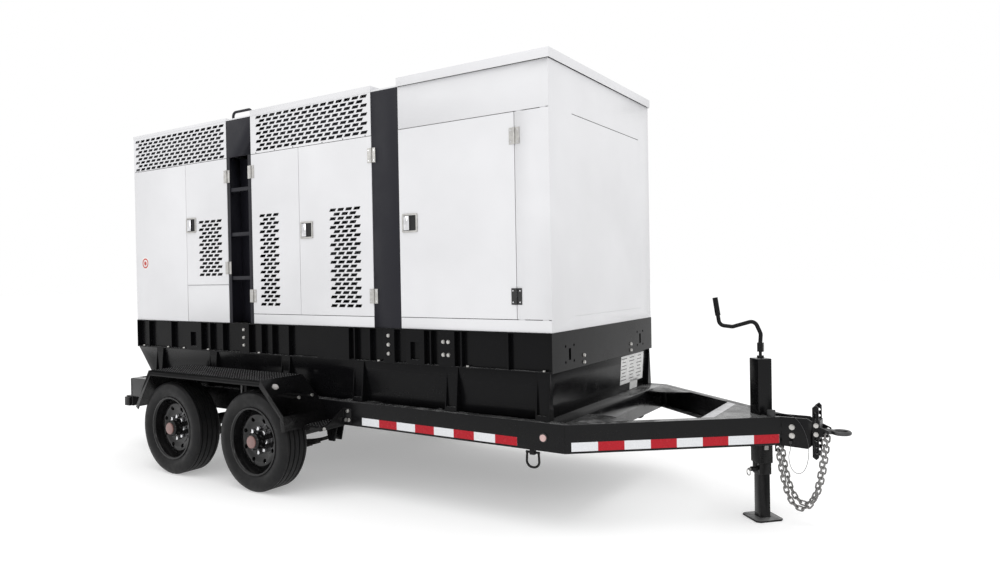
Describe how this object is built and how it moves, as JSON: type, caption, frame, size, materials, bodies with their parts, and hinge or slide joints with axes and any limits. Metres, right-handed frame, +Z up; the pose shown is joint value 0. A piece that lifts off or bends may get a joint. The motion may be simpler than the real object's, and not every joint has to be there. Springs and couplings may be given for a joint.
{
  "type": "towable diesel generator",
  "caption": "Sound-proofed generator enclosure on a fuel-tank skid and tandem-axle trailer, with hinged doors, tongue jack, safety chains and a towing eye.",
  "frame": {"origin": "on the ground, on the centreline, half way between the rear bumper and the towing eye's tip", "axes": "+X forward towards the tow vehicle, +Y to the trailer's left, +Z up"},
  "size_m": [5.7084, 2.424, 2.785],
  "materials": {
    "white_paint": "satin gloss",
    "charcoal_paint": "satin gloss",
    "black_gloss": "gloss",
    "zinc": "zinc plated",
    "dark_steel": "dark",
    "tyre": "matte",
    "chrome": "polished",
    "wheel_black": "gloss",
    "reflective": "retroreflective",
    "lamp": "clear",
    "cable": "matte",
    "cast": "painted",
    "alloy": "plain"
  },
  "bodies": {
    "trailer": {"side_rails": "black_gloss", "tongue_rails": "black_gloss", "cross_members": "black_gloss", "rear_bumper": "black_gloss", "coupler_plates": "black_gloss", "hitch_channel": "black_gloss", "towing_eye": "dark_steel", "safety_chains": "zinc", "breakaway_switch": "cable", "breakaway_cable": "cable", "jack_outer_tube": "black_gloss", "tie_down_brackets": "black_gloss", "fenders": "black_gloss", "steps": "black_gloss", "marker_lights": "lamp", "reflective_tape": "reflective", "axles": "black_gloss", "leaf_springs": "dark_steel", "spring_hangers": "black_gloss", "fuel_tank": "black_gloss", "skid_base": "black_gloss", "bolt_heads": "zinc", "side_walls": "white_paint", "mesh_grilles": "white_paint", "roof_caps": "white_paint", "end_walls": "white_paint", "pillars_and_ladder": "charcoal_paint", "wall_hinges": "zinc", "alternator": "cast", "engine": "cast", "radiator": "alloy", "silencer": "alloy", "control_panel": "white_paint"},
    "wheel_front_right": {"tyre_front_right": "tyre", "wheel_front_right": "wheel_black"},
    "wheel_front_left": {"tyre_front_left": "tyre", "wheel_front_left": "wheel_black"},
    "wheel_rear_right": {"tyre_rear_right": "tyre", "wheel_rear_right": "wheel_black"},
    "wheel_rear_left": {"tyre_rear_left": "tyre", "wheel_rear_left": "wheel_black"},
    "jack_crank": {"jack_crank": "black_gloss"},
    "jack_ram": {"jack_ram": "black_gloss"},
    "jack_drop_leg": {"jack_drop_leg": "black_gloss"},
    "jack_pull_pin": {"jack_pull_pin": "zinc"},
    "tie_down_ring_right": {"tie_down_ring_right": "black_gloss"},
    "tie_down_ring_left": {"tie_down_ring_left": "black_gloss"},
    "door_rear_right": {"door_rear_right": "white_paint"},
    "door_middle_rear_right": {"door_middle_rear_right": "white_paint"},
    "door_middle_rear_left": {"door_middle_rear_left": "white_paint"},
    "door_middle_front_right": {"door_middle_front_right": "white_paint"},
    "door_middle_front_left": {"door_middle_front_left": "white_paint"},
    "door_front_right": {"door_front_right": "white_paint"},
    "door_front_left": {"door_front_left": "white_paint"},
    "latch_rear_right": {"latch_rear_right": "chrome"},
    "latch_middle_right": {"latch_middle_right": "chrome"},
    "latch_middle_left": {"latch_middle_left": "chrome"},
    "latch_front_right": {"latch_front_right": "chrome"},
    "latch_front_left": {"latch_front_left": "chrome"},
    "cooling_fan": {"cooling_fan": "dark_steel"}
  },
  "joints": [
    {"name": "wheel_front_right_spin", "type": "hinge", "parent": "trailer", "child": "wheel_front_right", "pos_m": [-0.745, -1.0825, 0.346], "axis": [0, 1, 0], "continuous": true},
    {"name": "wheel_front_left_spin", "type": "hinge", "parent": "trailer", "child": "wheel_front_left", "pos_m": [-0.745, 1.0825, 0.346], "axis": [0, 1, 0], "continuous": true},
    {"name": "wheel_rear_right_spin", "type": "hinge", "parent": "trailer", "child": "wheel_rear_right", "pos_m": [-1.68, -1.0825, 0.346], "axis": [0, 1, 0], "continuous": true},
    {"name": "wheel_rear_left_spin", "type": "hinge", "parent": "trailer", "child": "wheel_rear_left", "pos_m": [-1.68, 1.0825, 0.346], "axis": [0, 1, 0], "continuous": true},
    {"name": "jack_crank_turn", "type": "hinge", "parent": "trailer", "child": "jack_crank", "pos_m": [2.367, 0, 1], "axis": [0, 0, 1], "range_deg": [-33600, 0]},
    {"name": "jack_ram_slide", "type": "slide", "parent": "trailer", "child": "jack_ram", "axis": [0, 0, 1], "range_m": [-0.28, 0]},
    {"name": "jack_drop_leg_slide", "type": "slide", "parent": "jack_ram", "child": "jack_drop_leg", "axis": [0, 0, 1], "range_m": [-0.1, 0]},
    {"name": "jack_pull_pin_slide", "type": "slide", "parent": "jack_ram", "child": "jack_pull_pin", "axis": [-0.7071, -0.7071, 0], "range_m": [0, 0.022], "stiffness_N_per_m": 600, "springref_m": -0.02},
    {"name": "tie_down_ring_right_swing", "type": "hinge", "parent": "trailer", "child": "tie_down_ring_right", "pos_m": [1.273, -0.816, 0.436], "axis": [1, 0, 0], "range_deg": [-70, 70]},
    {"name": "tie_down_ring_left_swing", "type": "hinge", "parent": "trailer", "child": "tie_down_ring_left", "pos_m": [1.273, 0.816, 0.436], "axis": [1, 0, 0], "range_deg": [-70, 70]},
    {"name": "door_rear_right_swing", "type": "hinge", "parent": "trailer", "child": "door_rear_right", "pos_m": [-1.474, -0.791, 1.8], "axis": [0, 0, 1], "range_deg": [0, 100]},
    {"name": "door_middle_rear_right_swing", "type": "hinge", "parent": "trailer", "child": "door_middle_rear_right", "pos_m": [-1.186, -0.791, 1.8], "axis": [0, 0, -1], "range_deg": [0, 100]},
    {"name": "door_middle_rear_left_swing", "type": "hinge", "parent": "trailer", "child": "door_middle_rear_left", "pos_m": [-1.186, 0.791, 1.8], "axis": [0, 0, 1], "range_deg": [0, 100]},
    {"name": "door_middle_front_right_swing", "type": "hinge", "parent": "trailer", "child": "door_middle_front_right", "pos_m": [0.042, -0.791, 1.8], "axis": [0, 0, 1], "range_deg": [0, 100]},
    {"name": "door_middle_front_left_swing", "type": "hinge", "parent": "trailer", "child": "door_middle_front_left", "pos_m": [0.042, 0.791, 1.8], "axis": [0, 0, -1], "range_deg": [0, 100]},
    {"name": "door_front_right_swing", "type": "hinge", "parent": "trailer", "child": "door_front_right", "pos_m": [1.164, -0.791, 1.8], "axis": [0, 0, 1], "range_deg": [0, 100]},
    {"name": "door_front_left_swing", "type": "hinge", "parent": "trailer", "child": "door_front_left", "pos_m": [1.164, 0.791, 1.8], "axis": [0, 0, -1], "range_deg": [0, 100]},
    {"name": "latch_rear_right_turn", "type": "hinge", "parent": "door_rear_right", "child": "latch_rear_right", "pos_m": [-1.9835, -0.7888, 1.912], "axis": [0, 0, -1], "range_deg": [0, 35], "stiffness_Nm_per_rad": 0.5, "springref_deg": -17.19},
    {"name": "latch_middle_right_turn", "type": "hinge", "parent": "door_middle_front_right", "child": "latch_middle_right", "pos_m": [-0.6355, -0.7888, 1.811], "axis": [0, 0, -1], "range_deg": [0, 35], "stiffness_Nm_per_rad": 0.5, "springref_deg": -17.19},
    {"name": "latch_middle_left_turn", "type": "hinge", "parent": "door_middle_front_left", "child": "latch_middle_left", "pos_m": [-0.6355, 0.7888, 1.811], "axis": [0, 0, 1], "range_deg": [0, 35], "stiffness_Nm_per_rad": 0.5, "springref_deg": -17.19},
    {"name": "latch_front_right_turn", "type": "hinge", "parent": "door_front_right", "child": "latch_front_right", "pos_m": [0.3185, -0.7888, 1.811], "axis": [0, 0, -1], "range_deg": [0, 35], "stiffness_Nm_per_rad": 0.5, "springref_deg": -17.19},
    {"name": "latch_front_left_turn", "type": "hinge", "parent": "door_front_left", "child": "latch_front_left", "pos_m": [0.3185, 0.7888, 1.811], "axis": [0, 0, 1], "range_deg": [0, 35], "stiffness_Nm_per_rad": 0.5, "springref_deg": -17.19},
    {"name": "cooling_fan_spin", "type": "hinge", "parent": "trailer", "child": "cooling_fan", "pos_m": [-1.168, 0, 1.5], "axis": [1, 0, 0], "continuous": true}
  ],
  "couplings": [
    {"joint": "jack_ram_slide", "follows": "jack_crank_turn", "m_per_rad": 0.00047746}
  ]
}
